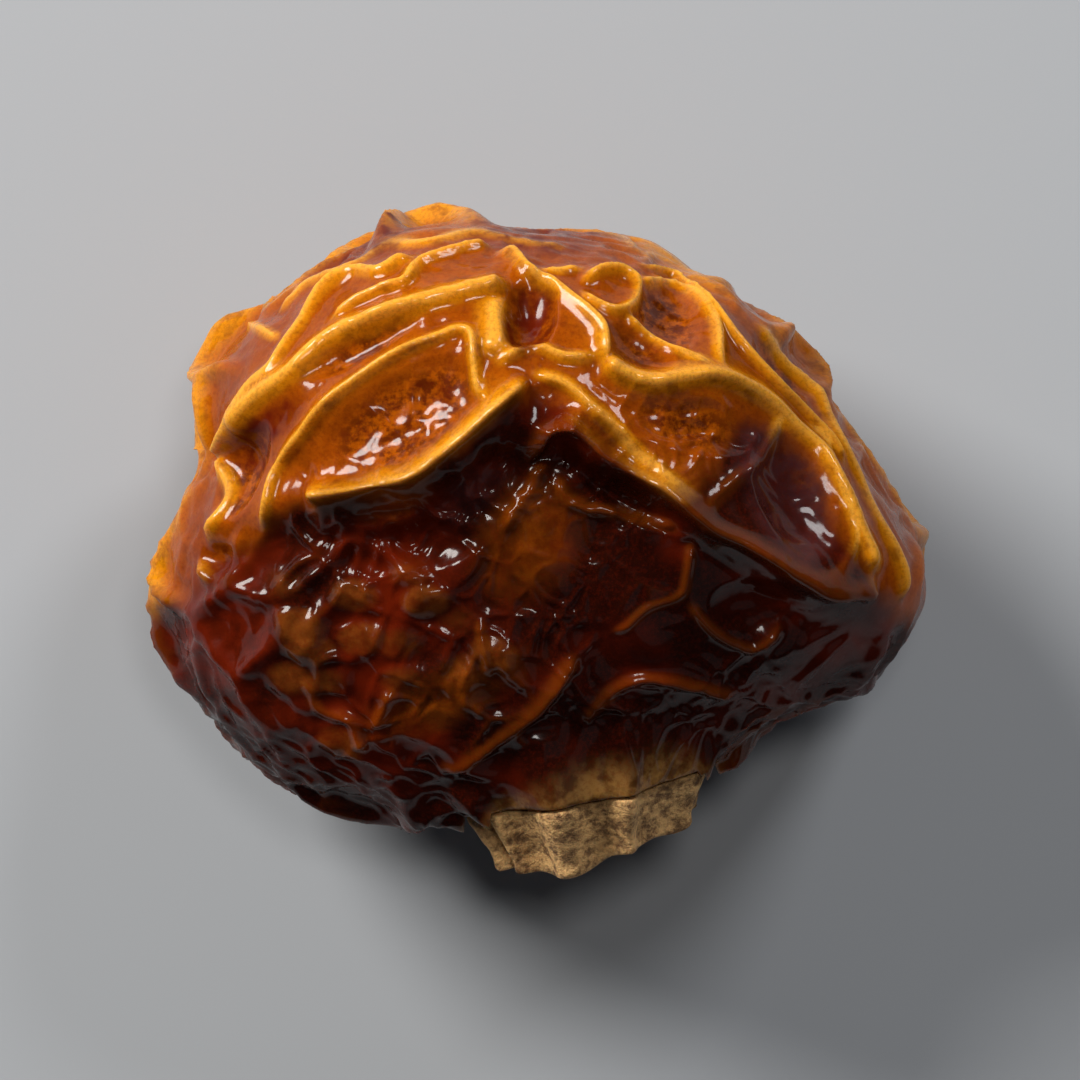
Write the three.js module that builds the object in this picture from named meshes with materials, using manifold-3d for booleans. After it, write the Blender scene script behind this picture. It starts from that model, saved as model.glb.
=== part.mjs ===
// A dried physalis berry (a golden berry) lying on its side on a flat surface.
//
// Drying has shrunk the flesh under a skin that kept its size, so the skin stands in folds: long crests
// across the upper side, a brow where the loose crown hangs over the sunken lower half, and a net of
// smaller wrinkles all round. The corky scar where the stalk and its papery lantern broke off caps a short
// pleated neck at the front.
//
// Millimetres, +Z up. Seen from above, +X is right and +Y is away. The origin is on the resting surface,
// under the middle of the berry.

import * as THREE from "three";
import { mergeVertices } from "three/addons/utils/BufferGeometryUtils.js";
import Module from "manifold-3d";

const wasm = await Module();
wasm.setup();

// Driving dimensions of the smooth body under the wrinkles
const BODY_ABOVE = 6.2; // from the widest level up to the top
const BODY_BELOW = 5.9; // from the widest level down to the underside
const BODY_SQUARENESS = 2.25; // 2 makes an ellipsoid, and more fills out its corners
const BODY_TILT = 0.15; // share by which the far side stands higher and the near side lower
const FOOT_LEVEL = -5.98; // the level at which the lowest wrinkles are flat, where the berry rests
const MESH_DETAIL = 22; // each edge of the icosahedron is split into one more than this
const MESH_LIFT = 0.16; // crowds the mesh towards the folded upper side

// The berry's outline seen from above, anticlockwise from the right
const OUTLINE = [
  [9.35, -1.9], [8.2, 0.75], [6.95, 2.45], [6.0, 3.9], [4.9, 5.05], [3.25, 5.7], [1.5, 6.65], [-0.6, 6.9],
  [-3.0, 6.95], [-4.95, 6.2], [-6.55, 5.15], [-7.85, 3.9], [-8.2, 2.6], [-8.15, 1.5], [-8.75, 0.2],
  [-9.05, -1.6], [-8.7, -3.45], [-8.05, -4.9], [-6.6, -6.2], [-4.6, -6.9], [-2.3, -7.3], [0.4, -6.8],
  [3.2, -5.7], [5.9, -4.65], [7.9, -3.85], [8.8, -3.05],
];

// The brow: the line, seen from above, below which the skin has sunk onto the flesh
const BROW = [
  [-10, -0.5], [-7.5, -0.1], [-6.2, 0.2], [-4.5, 0.35], [-3.4, 0.6], [-2.6, 1.0], [-1.7, 1.7], [-0.9, 2.2],
  [0.0, 2.4], [0.8, 2.0], [1.7, 1.2], [2.6, 0.65], [4.0, -0.35], [5.6, -1.2], [6.6, -1.85], [8.0, -2.5],
  [10, -3.1],
];
const BROW_DROP = 0.14; // share of the height that is lost below the brow
const BROW_RISE = [-0.9, 0.35]; // the drop runs out between these distances from the line

// Folds of the upper side. Each crest is drawn as it is seen from above. Height and width are the crest's
// own, and tip carries its top that far over to the right of its direction.
const FOLDS = {
  window_crest: { height: 0.5, width: 0.13, tip: 0.05, line: [
    [-7.1, -0.7], [-7.0, 0.2], [-6.7, 1.2], [-6.0, 2.1], [-5.4, 2.8], [-4.5, 3.5], [-3.6, 4.05],
    [-2.8, 4.4], [-2.15, 4.65], [-1.85, 4.45], [-1.8, 3.8], [-1.7, 3.1], [-1.35, 2.6]] },
  hanging_lip: { height: 0.75, width: 0.18, tip: 0.3, line: [
    [-6.4, 0.42], [-5.3, 0.5], [-4.3, 0.64], [-3.3, 0.93], [-2.6, 1.42], [-1.9, 2.0], [-1.25, 2.6],
    [-0.6, 3.1], [-0.1, 3.4]] },
  band_edge: { height: 0.32, width: 0.14, tip: 0.1, line: [
    [-0.6, 3.4], [-0.1, 3.4], [0.5, 3.2], [1.03, 2.75], [1.6, 2.25], [2.2, 1.6], [3.0, 0.95], [3.7, 0.35],
    [4.2, -0.2]] },
  second_arc: { height: 0.65, width: 0.25, tip: 0.15, line: [
    [-8.2, 1.9], [-7.4, 2.9], [-6.4, 3.65], [-5.4, 4.55], [-4.4, 4.9], [-3.4, 5.25], [-2.3, 5.6],
    [-1.35, 5.8], [-0.6, 5.9]] },
  third_arc_low: { height: 0.45, width: 0.15, tip: 0.1, line: [
    [-5.6, 4.7], [-4.8, 5.3], [-4.1, 5.6], [-3.5, 5.8], [-3.15, 6.3], [-2.5, 6.6], [-1.8, 6.8],
    [-1.0, 6.85]] },
  third_arc_high: { height: 0.5, width: 0.18, tip: 0.05, line: [
    [-8.5, 1.3], [-8.1, 1.95], [-7.8, 2.6], [-7.4, 3.3], [-6.9, 3.75], [-6.6, 4.3], [-6.2, 4.9],
    [-5.9, 5.4], [-5.4, 5.9], [-4.8, 6.2], [-4.2, 6.15], [-3.6, 6.45], [-3.0, 6.55]] },
  left_spur: { height: 0.25, width: 0.12, tip: 0, line: [[-7.6, 4.85], [-7.2, 4.7], [-6.5, 4.35]] },
  far_rim: { height: 0.3, width: 0.2, tip: 0, line: [
    [-6.9, 5.0], [-6.0, 5.8], [-5.0, 6.2], [-4.0, 6.8], [-3.0, 6.85], [-1.8, 7.1], [-0.5, 6.85],
    [0.8, 6.75]] },
  crown_crest: { height: 0.55, width: 0.16, tip: -0.1, line: [
    [-1.3, 6.9], [-0.75, 6.6], [-0.4, 6.2], [0.2, 5.9], [0.8, 5.4], [1.2, 5.0], [1.45, 4.6], [1.5, 4.1],
    [1.75, 3.5]] },
  crown_link: { height: 0.32, width: 0.13, tip: 0, line: [[-0.5, 6.15], [0.3, 6.1], [1.2, 6.25]] },
  pit_left: { height: 0.35, width: 0.35, tip: 0, line: [
    [-1.35, 5.7], [-1.25, 5.0], [-1.25, 4.3], [-1.4, 3.6]] },
  pit_floor: { height: 0.35, width: 0.14, tip: 0, line: [
    [-1.5, 3.6], [-0.9, 3.95], [-0.3, 4.2], [0.35, 3.95], [0.9, 3.9], [1.5, 3.95]] },
  pocket_loop: { height: 0.45, width: 0.13, tip: 0, line: [
    [0.75, 5.75], [1.3, 6.1], [1.95, 6.1], [2.35, 5.75], [2.25, 5.35], [1.8, 5.15], [1.25, 5.35],
    [0.7, 5.85]] },
  shoulder_link: { height: 0.4, width: 0.15, tip: 0, line: [
    [2.2, 5.85], [2.9, 5.9], [3.35, 5.75], [3.8, 5.4], [4.25, 4.8], [4.3, 4.0], [4.35, 3.4]] },
  shoulder_crease: { height: 0.3, width: 0.14, tip: 0, line: [
    [1.7, 5.2], [2.6, 4.55], [3.5, 4.0], [4.4, 3.7]] },
  right_crest: { height: 0.5, width: 0.12, tip: 0.1, line: [
    [2.2, 6.4], [3.2, 6.1], [4.0, 5.4], [4.7, 4.6], [5.2, 4.0], [5.95, 3.2], [6.6, 2.6], [7.2, 1.9],
    [7.7, 1.1]] },
  right_rim: { height: 0.4, width: 0.22, tip: 0, line: [
    [5.1, 5.0], [6.0, 4.2], [6.7, 3.3], [7.35, 2.0], [8.0, 0.9], [8.55, -0.3], [8.95, -1.4], [9.05, -2.4]] },
  shoulder_fold: { height: 0.65, width: 0.25, tip: 0.25, line: [
    [1.1, 4.1], [2.0, 3.5], [2.7, 3.35], [3.5, 3.45], [4.3, 3.5], [5.1, 3.25], [5.7, 2.9], [6.3, 2.35],
    [6.9, 1.8], [7.3, 1.1], [7.8, 0.1], [8.2, -0.9], [8.4, -1.8]] },
  facet_divider: { height: 0.3, width: 0.16, tip: 0, line: [
    [5.9, 2.9], [5.7, 2.05], [5.3, 1.35], [4.7, 0.9], [4.1, 0.3], [4.15, -0.4]] },
  facet_rim: { height: 0.32, width: 0.13, tip: 0, line: [
    [6.3, 2.5], [6.95, 1.9], [7.1, 1.1], [7.4, 0.35], [7.65, -0.25], [7.65, -0.8], [7.2, -1.3],
    [6.6, -1.35], [6.0, -1.0]] },
  brow_fold: { height: 0.75, width: 0.17, tip: 0.4, line: [
    [-0.2, 1.0], [-0.05, 1.7], [0.33, 2.05], [0.89, 1.95], [1.45, 1.46], [2.15, 0.97], [3.0, 0.48],
    [3.7, -0.08], [4.25, -0.5], [4.95, -0.8], [5.66, -1.2], [6.36, -1.7], [7.06, -2.1], [7.9, -2.2],
    [8.6, -2.3]] },
  lobe_left: { height: 0.35, width: 0.17, tip: 0, line: [
    [0.05, 1.6], [-0.2, 1.0], [-0.45, 0.5], [-0.9, -0.1], [-1.3, -0.7]] },
  lobe_right: { height: 0.38, width: 0.15, tip: 0.1, line: [
    [0.1, 1.2], [0.45, 0.4], [1.0, 0.1], [1.8, 0.0], [2.7, -0.2], [3.6, -0.4]] },
  lower_y_stem: { height: 0.45, width: 0.12, tip: 0, line: [
    [3.6, -0.3], [3.5, -1.4], [3.3, -2.05], [2.5, -2.35], [1.95, -2.8], [1.4, -3.1]] },
  lower_y_right: { height: 0.42, width: 0.12, tip: 0, line: [
    [3.4, -1.9], [3.8, -2.6], [4.4, -3.15], [5.1, -3.4], [5.6, -3.15], [6.1, -2.6]] },
  long_diagonal: { height: 0.5, width: 0.18, tip: -0.1, line: [
    [1.0, -3.3], [0.4, -4.1], [-0.05, -4.7], [-0.45, -5.15], [-1.3, -5.8], [-2.1, -6.3], [-2.8, -6.6]] },
  left_lobe: { height: 0.4, width: 0.17, tip: 0, line: [
    [-8.3, 1.6], [-8.1, 0.8], [-8.3, 0.0], [-8.7, -0.8]] },
  left_crescent: { height: 0.35, width: 0.13, tip: 0, line: [
    [-8.8, -0.9], [-8.5, -1.5], [-8.0, -1.7], [-7.5, -1.3], [-7.2, -0.6]] },
  low_left_hook: { height: 0.36, width: 0.14, tip: 0, line: [
    [-5.9, -3.7], [-5.8, -4.5], [-5.5, -4.95], [-4.95, -5.05], [-4.6, -5.55], [-4.4, -6.1]] },
  low_left_bar: { height: 0.34, width: 0.14, tip: 0, line: [[-3.7, -4.0], [-4.0, -4.8], [-4.4, -5.5]] },
  low_middle_bar: { height: 0.34, width: 0.14, tip: 0, line: [[-1.7, -2.3], [-1.55, -3.2], [-1.3, -4.3]] },
  neck_fold: { height: 0.4, width: 0.15, tip: 0, line: [
    [4.9, -4.6], [3.6, -4.3], [2.4, -4.1], [1.4, -4.6], [0.8, -5.4]] },
};
const FOLD_SKIRT = 0.6; // the skin beside a crest falls away over about this length
const LEAST_WIDTH = 0.22; // the finest crest that this mesh can carry
const FOLD_END = 0.7; // a crest dies away over this length at each end
const FOLD_STEPS = 6; // pieces that each span of a drawn crest is split into
const FOLD_CHANGE = { middle: 0.9, range: 0.18, length: 2.4, seed: 3 }; // how a crest's height wavers

// Places of the upper side where the skin is pulled in (or, with a negative depth, stands proud), as
// ellipses seen from above: turn is in degrees
const HOLLOWS = {
  window: { middle: [-3.55, 2.45], half: [2.4, 1.1], turn: 32, depth: 0.35 },
  crown_pit: { middle: [-0.4, 5.0], half: [1.0, 0.7], turn: 80, depth: 0.5 },
  apex_pit: { middle: [0.1, 2.75], half: [0.8, 0.6], turn: 0, depth: 0.2 },
  apex_trough: { middle: [1.8, 1.75], half: [1.4, 0.4], turn: -38, depth: 0.4 },
  upper_facet: { middle: [3.0, 5.05], half: [1.0, 0.7], turn: -40, depth: 0.35 },
  middle_facet: { middle: [2.3, 4.2], half: [1.0, 0.5], turn: -25, depth: 0.2 },
  right_facet: { middle: [6.1, 3.9], half: [1.1, 0.5], turn: -50, depth: 0.3 },
  band: { middle: [3.6, 2.35], half: [1.8, 0.75], turn: -15, depth: 0.25 },
  violet_facet: { middle: [6.2, 0.6], half: [1.7, 0.9], turn: -65, depth: 0.4 },
  left_channel: { middle: [-7.7, 1.1], half: [1.4, 0.5], turn: 65, depth: 0.35 },
  arc_trough: { middle: [-4.6, 4.25], half: [1.9, 0.35], turn: 28, depth: 0.25 },
  under_brow: { middle: [2.3, 0.45], half: [1.6, 0.6], turn: -28, depth: 0.4 },
  under_lip: { middle: [-3.6, -0.6], half: [2.6, 1.0], turn: 12, depth: 0.35 },
  amber_lobe: { middle: [-0.1, -0.5], half: [2.0, 1.3], turn: 80, depth: -0.25 },
  lower_right: { middle: [5.3, -2.3], half: [1.3, 0.8], turn: 0, depth: 0.3 },
  left_cup: { middle: [-8.2, -1.1], half: [0.6, 0.45], turn: 0, depth: 0.25 },
};

// Seeds that show as lumps where the sunken skin lies on them
const SEEDS = {
  count: 16, middle: [-4.2, -3.1], reach: [3.4, 2.3], half: [0.75, 0.5], height: 0.2, stray: 1.1,
};

// Nets of wrinkles over the whole skin, as the borders of irregular cells. On top is the share of the
// height that is left under the drawn folds.
const NETS = [
  { cells: 95, height: 0.95, width: 0.3, warp: 0.6, warpLength: 4.6, seed: 11, onTop: 0.12 },
  { cells: 420, height: 0.42, width: 0.17, warp: 0.3, warpLength: 2.1, seed: 29, onTop: 0.4 },
];
const NET_JITTER = 0.5; // how far a cell's middle strays, as a share of the spacing of the cells
const NET_BELOW_BROW = 0.35; // share of the height that comes back below the brow
const NET_AT_FOOT = 0.35; // share left where the berry rests
const NET_FADE_LENGTH = 5.2; // wavelength of the slow change in the nets' height

// The stem end: where the neck stands, the way it points, and the ruffled scar on it
const STEM_PLACE = new THREE.Vector3(0.14, -1, 0.04);
const STEM_AXIS = new THREE.Vector3(0.17, -0.96, -0.2).normalize();
const NECK = {
  radius: 2.6, // up to here from the stem's axis the skin is drawn out fully
  flare: 1.2, // and over this much more it runs back to the body
  length: -0.1,
  overlap: 0.2, // the skin is drawn out this far past the seat, and cut back to it
  smooth: [2.4, 4.2], // the wrinkles begin between these distances from the axis
  depth: [1.5, 3.5], // and all this ends between these depths behind the seat
};
const SEAT_RADIUS = 3.3;
const PLEATS = { count: 11, height: 0.4, begin: [0.8, 1.8], end: [3, 5] };
const SCAR_GAP = 0.08;
const SCAR = {
  radius: 2.95, thickness: 1.45, sectors: 54,
  ragged: 0.28, tearLength: 1.4, // the rim's height varies by this share, at about this wavelength
  ruffle: 0.1, // and its radius by this share, with the pleats
  rough: 0.05, roughLength: 0.4,
};

// Where the part's origin lies under the berry, from the middle that the outline is drawn from
const PLAN_MIDDLE = [-0.15, -0.62];

// Small functions for numbers
const clamp01 = (t) => Math.min(1, Math.max(0, t));
const smoothstep = (from, to, t) => {
  const s = clamp01((t - from) / (to - from));
  return s * s * (3 - 2 * s);
};

// A generator of even random numbers from 0 to 1, the same on every run
function seededNumbers(seed) {
  let state = seed >>> 0;
  return () => {
    state = (Math.imul(state, 1664525) + 1013904223) >>> 0;
    return state / 2 ** 32;
  };
}

// Directions spread evenly over a sphere, by the golden angle
function spreadDirection(index, count) {
  const goldenAngle = Math.PI * (3 - Math.sqrt(5));
  const z = 1 - (2 * index + 1) / count;
  const ring = Math.sqrt(1 - z * z);
  return new THREE.Vector3(ring * Math.cos(index * goldenAngle), ring * Math.sin(index * goldenAngle), z);
}

// A smooth random field, about -1 to 1: plane waves in several directions, of about the given wavelength
const WAVES = 7;
const WAVE_DIRECTIONS = Array.from({ length: WAVES }, (_, k) => spreadDirection(k, WAVES));
function waves(point, wavelength, seed) {
  let sum = 0;
  WAVE_DIRECTIONS.forEach((direction, k) => {
    const pace = (2 * Math.PI * (0.75 + 0.09 * k)) / wavelength;
    sum += Math.sin(point.dot(direction) * pace + seed * (k + 1) * 1.7 + k * k);
  });
  return sum / Math.sqrt(WAVES * 1.3);
}

// The outline's radius at an angle, by a smooth curve through its points
const OUTLINE_POLAR = OUTLINE.map(([x, y]) => [Math.atan2(y, x), Math.hypot(x, y)]);
OUTLINE_POLAR.sort((a, b) => a[0] - b[0]);
function outlineRadius(angle) {
  const n = OUTLINE_POLAR.length;
  const at = (i) => {
    const turns = Math.floor(i / n);
    const [a, r] = OUTLINE_POLAR[i - turns * n];
    return [a + turns * 2 * Math.PI, r];
  };
  let i = OUTLINE_POLAR.findIndex(([a]) => a > angle);
  if (i < 0) i = n;
  const [p, q, r, s] = [at(i - 2), at(i - 1), at(i), at(i + 1)];
  return hermite(p, q, r, s, angle);
}

// The smooth curve through four points of a graph, between the middle two
function hermite(p, q, r, s, x) {
  const span = r[0] - q[0];
  const t = (x - q[0]) / span;
  const slopeQ = ((r[1] - p[1]) / (r[0] - p[0])) * span;
  const slopeR = ((s[1] - q[1]) / (s[0] - q[0])) * span;
  const t2 = t * t;
  const t3 = t2 * t;
  const fromQ = (2 * t3 - 3 * t2 + 1) * q[1] + (t3 - 2 * t2 + t) * slopeQ;
  const fromR = (3 * t2 - 2 * t3) * r[1] + (t3 - t2) * slopeR;
  return fromQ + fromR;
}

// The brow's level y at a place x
function browLevel(x) {
  let i = BROW.findIndex(([knotX]) => knotX > x);
  i = i < 0 ? BROW.length - 1 : Math.max(1, i);
  const p = BROW[Math.max(0, i - 2)];
  const s = BROW[Math.min(BROW.length - 1, i + 1)];
  return hermite(p, BROW[i - 1], BROW[i], s, x);
}

// The smooth body under the wrinkles
function bodySum(x, y, z) {
  const inPlan = Math.hypot(x, y) / outlineRadius(Math.atan2(y, x));
  const up = Math.abs(z) / (z > 0 ? BODY_ABOVE : BODY_BELOW);
  return inPlan ** BODY_SQUARENESS + up ** BODY_SQUARENESS;
}

const bodyPoint = (direction) =>
  direction.clone().multiplyScalar(bodySum(direction.x, direction.y, direction.z) ** (-1 / BODY_SQUARENESS));

function bodyTop(x, y) {
  const inPlan = Math.min(1, Math.hypot(x, y) / outlineRadius(Math.atan2(y, x)));
  return new THREE.Vector3(x, y, BODY_ABOVE * (1 - inPlan ** BODY_SQUARENESS) ** (1 / BODY_SQUARENESS));
}

function bodyNormal(point) {
  const step = 0.02;
  const { x, y, z } = point;
  return new THREE.Vector3(
    bodySum(x + step, y, z) - bodySum(x - step, y, z),
    bodySum(x, y + step, z) - bodySum(x, y - step, z),
    bodySum(x, y, z + step) - bodySum(x, y, z - step),
  ).normalize();
}

// A fold's height at a distance from its crest, 1 on the crest: a narrow round ridge on a wide concave
// skirt
const FOLD_REACH = 3.5;
const foldShape = (distance, width) => {
  const skirt = (Math.hypot(distance, width) - width) / FOLD_SKIRT;
  return 0.45 * Math.exp(-((distance / width) ** 2)) + 0.55 * Math.exp(-skirt);
};

// Each drawn crest as short straight pieces on the smooth body, set back by its own height and tip
function foldPath({ height, width, tip, line }) {
  const drawn = new THREE.SplineCurve(line.map(([x, y]) => new THREE.Vector2(x, y)));
  const seen = drawn.getPoints(line.length * FOLD_STEPS);
  const tops = seen.map(({ x, y }) => bodyTop(x, y));
  const points = tops.map((top, i) => {
    const before = tops[Math.max(0, i - 1)];
    const after = tops[Math.min(tops.length - 1, i + 1)];
    const run = after.clone().sub(before).normalize();
    let base = top;
    for (let pass = 0; pass < 3; pass += 1) {
      const normal = bodyNormal(base);
      const side = run.clone().cross(normal);
      const x = seen[i].x - height * normal.x - tip * side.x;
      const y = seen[i].y - height * normal.y - tip * side.y;
      base = bodyTop(x, y);
    }
    return base;
  });
  const run = [0];
  for (let i = 1; i < points.length; i += 1) run.push(run[i - 1] + points[i].distanceTo(points[i - 1]));
  return { height, width: Math.max(width, LEAST_WIDTH), tip, points, run, length: run[run.length - 1] };
}
const FOLD_PATHS = Object.values(FOLDS).map(foldPath);

// The nearest place on a crest: its distance, how far along it is, and the crest's direction there
function nearestOnFold(path, point) {
  let best = { distance: Infinity };
  const toPoint = new THREE.Vector3();
  const along = new THREE.Vector3();
  for (let i = 1; i < path.points.length; i += 1) {
    along.subVectors(path.points[i], path.points[i - 1]);
    toPoint.subVectors(point, path.points[i - 1]);
    const length = along.length();
    const t = clamp01(toPoint.dot(along) / (length * length));
    const distance = toPoint.addScaledVector(along, -t).length();
    if (distance < best.distance) {
      best = { distance, along: path.run[i - 1] + t * length, direction: along.clone().divideScalar(length) };
    }
  }
  return best;
}

// The cells of a net: their middles on the smooth body
function netCells(net) {
  const random = seededNumbers(net.seed);
  const spacing = Math.sqrt((4 * Math.PI) / net.cells);
  return Array.from({ length: net.cells }, (_, k) => {
    const direction = spreadDirection(k, net.cells);
    direction.x += (random() - 0.5) * 2 * NET_JITTER * spacing;
    direction.y += (random() - 0.5) * 2 * NET_JITTER * spacing;
    direction.z += (random() - 0.5) * 2 * NET_JITTER * spacing;
    return bodyPoint(direction.normalize());
  });
}
const NET_CELLS = NETS.map(netCells);

function netHeight(net, cells, point) {
  const moved = new THREE.Vector3(
    point.x + net.warp * waves(point, net.warpLength, net.seed + 1),
    point.y + net.warp * waves(point, net.warpLength, net.seed + 2),
    point.z + net.warp * waves(point, net.warpLength, net.seed + 3),
  );
  let nearest = Infinity;
  let second = Infinity;
  cells.forEach((cell) => {
    const distance = cell.distanceTo(moved);
    if (distance < nearest) [nearest, second] = [distance, nearest];
    else if (distance < second) second = distance;
  });
  const strength = clamp01(0.62 + 0.5 * waves(point, NET_FADE_LENGTH, net.seed + 4));
  return net.height * strength * foldShape((second - nearest) / 2, net.width);
}

// Lumps over the hidden seeds: their middles spiral out over an ellipse and stray a little, and some show
// more
const seedRandom = seededNumbers(5);
const SEED_SHOWS = Array.from({ length: SEEDS.count }, () => 0.25 + 0.75 * seedRandom());
const SEED_PLACES = SEED_SHOWS.map((shows, k) => {
  const turn = k * Math.PI * (3 - Math.sqrt(5));
  const reach = Math.sqrt((k + 0.5) / SEEDS.count);
  const strayX = (seedRandom() - 0.5) * SEEDS.stray;
  const strayY = (seedRandom() - 0.5) * SEEDS.stray;
  const x = SEEDS.middle[0] + SEEDS.reach[0] * reach * Math.cos(turn) + strayX;
  const y = SEEDS.middle[1] + SEEDS.reach[1] * reach * Math.sin(turn) + strayY;
  return { x, y, turn: turn * 1.3, shows };
});

// How far inside an ellipse a place is: 1 in the middle and 0 from its edge out
function inEllipse(x, y, [halfLength, halfWidth], turn) {
  const along = (x * Math.cos(turn) + y * Math.sin(turn)) / halfLength;
  const across = (-x * Math.sin(turn) + y * Math.cos(turn)) / halfWidth;
  return clamp01(1 - along * along - across * across);
}

// The seat of the scar: a plane across the stem's axis, at the end of the neck
const seatPoint = bodyPoint(STEM_PLACE).addScaledVector(STEM_AXIS, NECK.length);
const STEM_SIDE = new THREE.Vector3(1, 0, 0).addScaledVector(STEM_AXIS, -STEM_AXIS.x).normalize();
const STEM_UP = new THREE.Vector3().crossVectors(STEM_AXIS, STEM_SIDE);

// A place as distances to the side, upwards and outwards from the seat's middle
function fromSeat(point) {
  const out = point.clone().sub(seatPoint);
  return [out.dot(STEM_SIDE), out.dot(STEM_UP), out.dot(STEM_AXIS)];
}

// The pleats round the stem, unevenly spaced: 1 on a pleat and 0 between two
const pleatWave = (turn) =>
  (0.5 + 0.5 * Math.cos(PLEATS.count * turn + 1.4 * Math.sin(2 * turn + 1) + 0.9 * Math.sin(5 * turn))) ** 2;

// How far the neck draws the skin out along the stem's axis, the pleats that run into it, and how much neck
// it is
function stemPull(point) {
  const [side, up, out] = fromSeat(point);
  const near = 1 - smoothstep(...NECK.depth, -out);
  const away = Math.hypot(side, up);
  const drawn = (1 - smoothstep(NECK.radius, NECK.radius + NECK.flare, away)) * near;
  const pull = Math.max(0, NECK.overlap - out) * drawn;
  const band = smoothstep(...PLEATS.begin, away) * (1 - smoothstep(...PLEATS.end, away)) * near;
  const pleat = PLEATS.height * pleatWave(Math.atan2(up, side)) * band;
  return { pull, pleat, neck: (1 - smoothstep(...NECK.smooth, away)) * near };
}

// The wrinkled skin's place for a direction from the berry's middle
const SHARPNESS = 4; // how strictly the highest fold wins where folds meet
const SKIN_LIFT = 0.4; // the wrinkles' mean height, by which the skin is seen beyond the smooth body
const TOP_SIDE = [-0.05, 0.45]; // the nets give way to the drawn folds as the skin turns up
const FOOT_SIDE = [-0.75, -0.95]; // and lose height as it turns down
const HOLLOW_SIDE = [0, 0.3]; // the hollows run out at the sides
function skinPoint(direction) {
  const base = bodyPoint(direction);
  const normal = bodyNormal(base);
  const onTop = smoothstep(...TOP_SIDE, normal.z);
  const atFoot = smoothstep(...FOOT_SIDE, normal.z);
  const seen = base.clone().addScaledVector(normal, SKIN_LIFT);

  const belowBrow = 1 - smoothstep(...BROW_RISE, seen.y - browLevel(seen.x));
  const { pull, pleat, neck } = stemPull(base);
  const rise = Math.max(0, base.z) * ((BODY_TILT * base.y) / 8 - BROW_DROP * belowBrow) * (1 - neck);
  let broad = 0;
  if (normal.z > 0) {
    Object.values(HOLLOWS).forEach(({ middle, half, turn, depth }) => {
      const within = inEllipse(seen.x - middle[0], seen.y - middle[1], half, THREE.MathUtils.degToRad(turn));
      broad -= depth * within * smoothstep(...HOLLOW_SIDE, normal.z);
    });
    const lumps = SEED_PLACES.map(({ x, y, turn, shows }) => {
      return shows * inEllipse(seen.x - x, seen.y - y, SEEDS.half, turn);
    });
    broad += SEEDS.height * Math.max(...lumps);
  }

  let powers = 0;
  const change = FOLD_CHANGE.middle + FOLD_CHANGE.range * waves(base, FOLD_CHANGE.length, FOLD_CHANGE.seed);
  const lean = new THREE.Vector3();
  FOLD_PATHS.forEach((path) => {
    const { distance, along, direction: run } = nearestOnFold(path, base);
    if (distance > FOLD_REACH) return;
    const end = smoothstep(-0.01, FOLD_END, Math.min(along, path.length - along));
    const share = end * foldShape(distance, path.width) * change;
    const power = (path.height * share) ** SHARPNESS;
    powers += power;
    lean.addScaledVector(new THREE.Vector3().crossVectors(run, normal), path.tip * share * power);
  });
  if (powers > 0) lean.divideScalar(powers);
  NETS.forEach((net, k) => {
    const keptOnTop = 1 - onTop * (1 - net.onTop - NET_BELOW_BROW * belowBrow);
    const keptAtFoot = 1 - atFoot * (1 - NET_AT_FOOT);
    powers += (keptOnTop * keptAtFoot * netHeight(net, NET_CELLS[k], base)) ** SHARPNESS;
  });
  const folds = powers ** (1 / SHARPNESS) * (1 - neck);
  const place = base.clone().addScaledVector(normal, broad + folds + pleat).add(lean);
  place.z += rise;
  return place.addScaledVector(STEM_AXIS, pull);
}

// A closed mesh as a solid that can be cut, and back again
function solidOf(geometry) {
  const bare = geometry.clone();
  bare.deleteAttribute("normal");
  bare.deleteAttribute("uv");
  const merged = mergeVertices(bare, 1e-5);
  return new wasm.Manifold(
    new wasm.Mesh({
      numProp: 3,
      vertProperties: merged.attributes.position.array,
      triVerts: new Uint32Array(merged.index.array),
    }),
  );
}

function geometryOf(solid) {
  const { vertProperties, triVerts } = solid.getMesh();
  const geometry = new THREE.BufferGeometry();
  geometry.setAttribute("position", new THREE.BufferAttribute(new Float32Array(vertProperties), 3));
  geometry.setIndex(new THREE.BufferAttribute(new Uint32Array(triVerts), 1));
  geometry.computeVertexNormals();
  return geometry;
}

// The whole wrinkled berry, before its foot and its seat are cut flat
function skinGeometry() {
  const sphere = new THREE.IcosahedronGeometry(1, MESH_DETAIL);
  sphere.deleteAttribute("normal");
  sphere.deleteAttribute("uv");
  const skin = mergeVertices(sphere, 1e-4);
  const position = skin.getAttribute("position");
  const direction = new THREE.Vector3();
  for (let i = 0; i < position.count; i += 1) {
    direction.fromBufferAttribute(position, i).normalize();
    direction.z += MESH_LIFT;
    const place = skinPoint(direction.normalize());
    position.setXYZ(i, place.x, place.y, place.z);
  }
  return skin;
}

// The space beyond a plane, within a radius of a place on it: what is cut away to leave the plane
function cutter(radius, planePoint, outward) {
  const depth = 10;
  const drum = new THREE.CylinderGeometry(radius, radius, depth, 64);
  const middle = planePoint.clone().addScaledVector(outward, depth / 2);
  const turn = new THREE.Quaternion().setFromUnitVectors(new THREE.Vector3(0, 1, 0), outward);
  return solidOf(drum.applyMatrix4(new THREE.Matrix4().compose(middle, turn, new THREE.Vector3(1, 1, 1))));
}

function berryGeometry() {
  const foot = cutter(20, new THREE.Vector3(0, 0, FOOT_LEVEL), new THREE.Vector3(0, 0, -1));
  const seat = cutter(SEAT_RADIUS, seatPoint, STEM_AXIS);
  return geometryOf(solidOf(skinGeometry()).subtract(foot).subtract(seat));
}

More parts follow.
